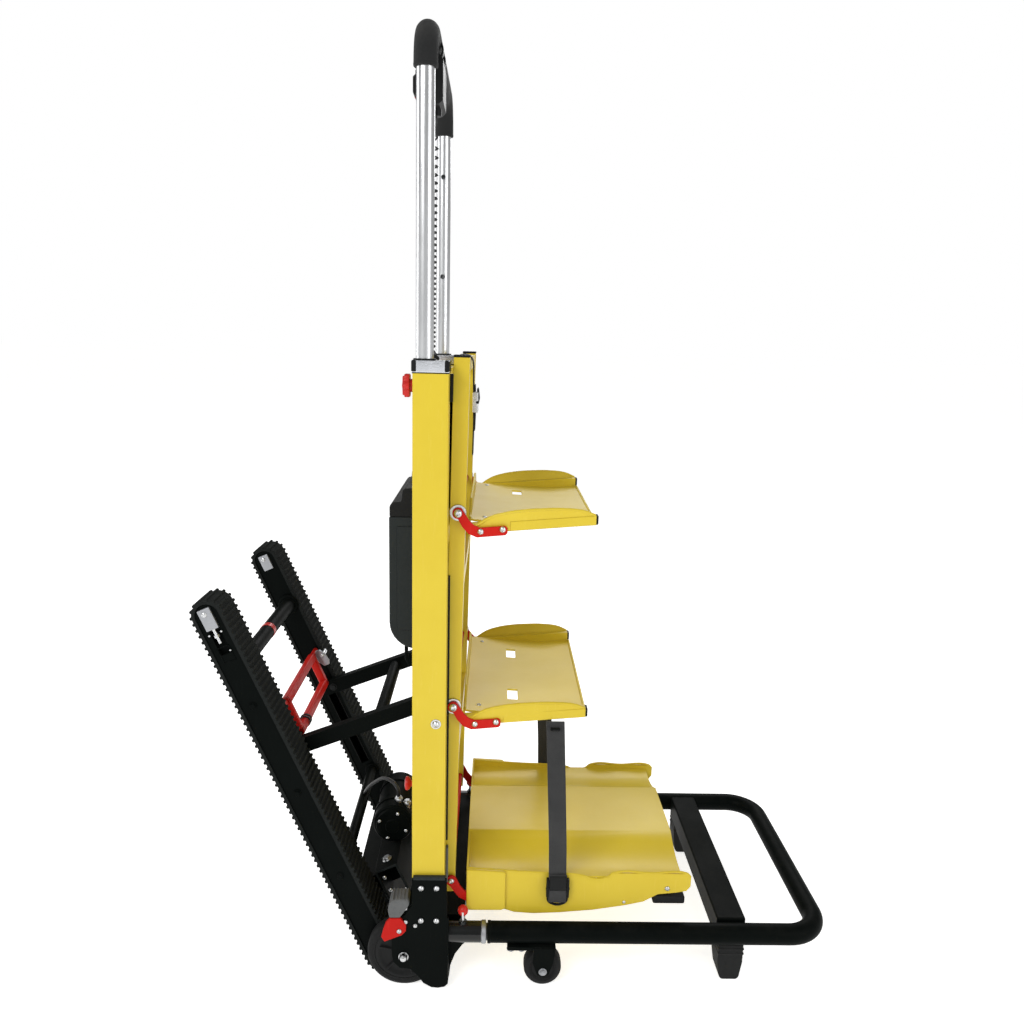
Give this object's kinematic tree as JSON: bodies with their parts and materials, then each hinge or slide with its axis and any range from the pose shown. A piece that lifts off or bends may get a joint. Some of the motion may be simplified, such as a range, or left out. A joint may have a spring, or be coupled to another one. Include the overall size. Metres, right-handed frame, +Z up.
{
  "type": "stair climbing trolley",
  "caption": "Upright trolley with tilting rubber crawler tracks, telescopic handle, folding cradle trays, main wheels and a low tubular toe frame for carrying loads up stairs.",
  "frame": {"origin": "centre of the bounding box in plan, on the floor under the wheels", "axes": "+X forward over the toe frame, +Y to the left seen from behind the handle, +Z up"},
  "size_m": [0.9641, 0.444, 1.3725],
  "materials": {
    "yellow_paint": "satin powder coat",
    "red_paint": "satin powder coat",
    "black_paint": "satin powder coat",
    "chrome_cap": "polished",
    "handle_aluminium": "brushed along the tube",
    "zinc_steel": "zinc plated",
    "black_plastic": "fine grain",
    "grey_plastic": "fine grain",
    "tyre_rubber": "matt",
    "belt_rubber": "ribbed, matt",
    "grip_foam": "soft foam",
    "pedal_rubber": "ribbed",
    "strap_webbing": "woven webbing",
    "red_plastic": "gloss"
  },
  "bodies": {
    "frame": {"main_frame": "yellow_paint", "post_cap_l": "chrome_cap", "post_cap_r": "chrome_cap", "cord_gland": "black_plastic", "side_plate_l": "black_paint", "side_plate_r": "black_paint", "base_beam": "black_paint", "toe_stub_l": "black_paint", "toe_stub_r": "black_paint", "load_frame": "yellow_paint", "battery_case": "grey_plastic", "battery_lid": "black_plastic", "strap_upper": "strap_webbing"},
    "handle": {"handle_tube": "handle_aluminium", "handle_grip": "grip_foam", "control_box": "black_plastic", "control_cord": "black_plastic"},
    "rocker": {"drive_rocker": "red_plastic"},
    "button": {"stop_button": "red_plastic"},
    "knob_l": {"clamp_knob_l": "red_plastic"},
    "knob_r": {"clamp_knob_r": "red_plastic"},
    "bail": {"battery_bail": "black_paint"},
    "wheel_l": {"wheel_hub_l": "black_plastic", "wheel_tyre_l": "tyre_rubber"},
    "wheel_r": {"wheel_hub_r": "black_plastic", "wheel_tyre_r": "tyre_rubber"},
    "brake_l": {"brake_lever_l": "red_paint", "brake_pad_l": "pedal_rubber"},
    "brake_r": {"brake_lever_r": "red_paint", "brake_pad_r": "pedal_rubber"},
    "tracks": {"track_belt_l": "belt_rubber", "track_belt_r": "belt_rubber", "track_frame_l": "black_paint", "track_frame_r": "black_paint", "track_tensioner_l": "handle_aluminium", "track_tensioner_r": "handle_aluminium", "cross_tube_upper": "black_paint", "cross_tube_lower": "black_paint", "drive_housing": "black_paint", "drive_motor": "black_paint"},
    "shaft": {"drive_shaft": "zinc_steel"},
    "idler_l": {"track_idler_l": "zinc_steel"},
    "idler_r": {"track_idler_r": "zinc_steel"},
    "release": {"release_handle": "red_paint"},
    "link": {"link_frame": "black_paint"},
    "tray_upper": {"upper_tray": "yellow_paint", "upper_tray_arms": "red_paint"},
    "tray_middle": {"middle_tray": "yellow_paint", "middle_tray_arms": "red_paint"},
    "tray_bottom": {"bottom_tray": "yellow_paint", "bottom_tray_arms": "red_paint"},
    "strap_l": {"strap_lower_l": "strap_webbing"},
    "strap_r": {"strap_lower_r": "strap_webbing"},
    "toe": {"toe_frame": "black_paint", "toe_foot_l": "tyre_rubber", "toe_foot_r": "tyre_rubber"},
    "caster_l": {"caster_wheel_l": "tyre_rubber"},
    "caster_r": {"caster_wheel_r": "tyre_rubber"},
    "pin_l": {"lock_pin_l": "red_plastic"},
    "pin_r": {"lock_pin_r": "red_plastic"}
  },
  "joints": [
    {"name": "handle_slide", "type": "slide", "parent": "frame", "child": "handle", "axis": [0, 0, 1], "range_m": [-0.25, 0], "deforming": ["control_cord"]},
    {"name": "drive_rocker_tilt", "type": "hinge", "parent": "handle", "child": "rocker", "pos_m": [-0.17, -0.114, 1.302], "axis": [0, 1, 0], "range_deg": [-4, 4], "stiffness_Nm_per_rad": 0.4},
    {"name": "stop_button_press", "type": "slide", "parent": "handle", "child": "button", "axis": [1, 0, 0], "range_m": [0, 0.003], "stiffness_N_per_m": 600},
    {"name": "clamp_knob_l_turn", "type": "hinge", "parent": "frame", "child": "knob_l", "pos_m": [-0.17, 0.193, 0.908], "axis": [1, 0, 0], "continuous": true},
    {"name": "clamp_knob_r_turn", "type": "hinge", "parent": "frame", "child": "knob_r", "pos_m": [-0.17, -0.193, 0.908], "axis": [1, 0, 0], "continuous": true},
    {"name": "battery_bail_swing", "type": "hinge", "parent": "frame", "child": "bail", "pos_m": [-0.179, -0.06, 0.502], "axis": [1, 0, 0], "range_deg": [-60, 60]},
    {"name": "wheel_l_spin", "type": "hinge", "parent": "frame", "child": "wheel_l", "pos_m": [-0.176, 0.199, 0.056], "axis": [0, 1, 0], "continuous": true},
    {"name": "wheel_r_spin", "type": "hinge", "parent": "frame", "child": "wheel_r", "pos_m": [-0.176, -0.199, 0.056], "axis": [0, 1, 0], "continuous": true},
    {"name": "brake_l_press", "type": "hinge", "parent": "frame", "child": "brake_l", "pos_m": [-0.182, 0.21, 0.102], "axis": [0, -1, 0], "range_deg": [0, 10], "stiffness_Nm_per_rad": 2},
    {"name": "brake_r_press", "type": "hinge", "parent": "frame", "child": "brake_r", "pos_m": [-0.182, -0.21, 0.102], "axis": [0, -1, 0], "range_deg": [0, 10], "stiffness_Nm_per_rad": 2},
    {"name": "track_fold", "type": "hinge", "parent": "frame", "child": "tracks", "pos_m": [-0.214, 0, 0.03], "axis": [0, 1, 0], "range_deg": [0, 20]},
    {"name": "link_swing", "type": "hinge", "parent": "frame", "child": "link", "pos_m": [-0.133, 0, 0.429], "axis": [0, -1, 0], "range_deg": [0, 46]},
    {"name": "drive_shaft_spin", "type": "hinge", "parent": "tracks", "child": "shaft", "pos_m": [-0.214, 0, 0.03], "axis": [0, 1, 0], "continuous": true},
    {"name": "idler_l_spin", "type": "hinge", "parent": "tracks", "child": "idler_l", "pos_m": [-0.45723, 0.157, 0.5763], "axis": [0, 1, 0], "continuous": true},
    {"name": "idler_r_spin", "type": "hinge", "parent": "tracks", "child": "idler_r", "pos_m": [-0.45723, -0.157, 0.5763], "axis": [0, 1, 0], "continuous": true},
    {"name": "release_pull", "type": "hinge", "parent": "tracks", "child": "release", "pos_m": [-0.37112, 0, 0.40994], "axis": [0, -1, 0], "range_deg": [0, 25], "stiffness_Nm_per_rad": 3},
    {"name": "upper_tray_fold", "type": "hinge", "parent": "frame", "child": "tray_upper", "pos_m": [-0.103, 0, 0.731], "axis": [0, -1, 0], "range_deg": [0, 58]},
    {"name": "middle_tray_fold", "type": "hinge", "parent": "frame", "child": "tray_middle", "pos_m": [-0.107, 0, 0.441], "axis": [0, -1, 0], "range_deg": [0, 58]},
    {"name": "bottom_tray_fold", "type": "hinge", "parent": "frame", "child": "tray_bottom", "pos_m": [-0.107, 0, 0.158], "axis": [0, -1, 0], "range_deg": [0, 36]},
    {"name": "strap_l_hang", "type": "hinge", "parent": "tray_middle", "child": "strap_l", "pos_m": [0.05, 0.179, 0.416], "axis": [0, -1, 0], "range_deg": [-58, 0]},
    {"name": "strap_r_hang", "type": "hinge", "parent": "tray_middle", "child": "strap_r", "pos_m": [0.05, -0.179, 0.416], "axis": [0, -1, 0], "range_deg": [-58, 0]},
    {"name": "toe_frame_extend", "type": "slide", "parent": "frame", "child": "toe", "axis": [1, 0, 0], "range_m": [0, 0.06]},
    {"name": "caster_l_spin", "type": "hinge", "parent": "toe", "child": "caster_l", "pos_m": [0.035, 0.195, 0.029], "axis": [0, 1, 0], "continuous": true},
    {"name": "caster_r_spin", "type": "hinge", "parent": "toe", "child": "caster_r", "pos_m": [0.035, -0.195, 0.029], "axis": [0, 1, 0], "continuous": true},
    {"name": "lock_pin_l_pull", "type": "slide", "parent": "frame", "child": "pin_l", "axis": [0, 0, 1], "range_m": [0, 0.01], "stiffness_N_per_m": 200},
    {"name": "lock_pin_r_pull", "type": "slide", "parent": "frame", "child": "pin_r", "axis": [0, 0, 1], "range_m": [0, 0.01], "stiffness_N_per_m": 200}
  ],
  "couplings": [
    {"joint": "link_swing", "follows": "track_fold", "ratio": 2.3},
    {"joint": "idler_l_spin", "follows": "drive_shaft_spin", "ratio": 1},
    {"joint": "idler_r_spin", "follows": "drive_shaft_spin", "ratio": 1},
    {"joint": "strap_l_hang", "follows": "middle_tray_fold", "ratio": -1},
    {"joint": "strap_r_hang", "follows": "middle_tray_fold", "ratio": -1}
  ]
}
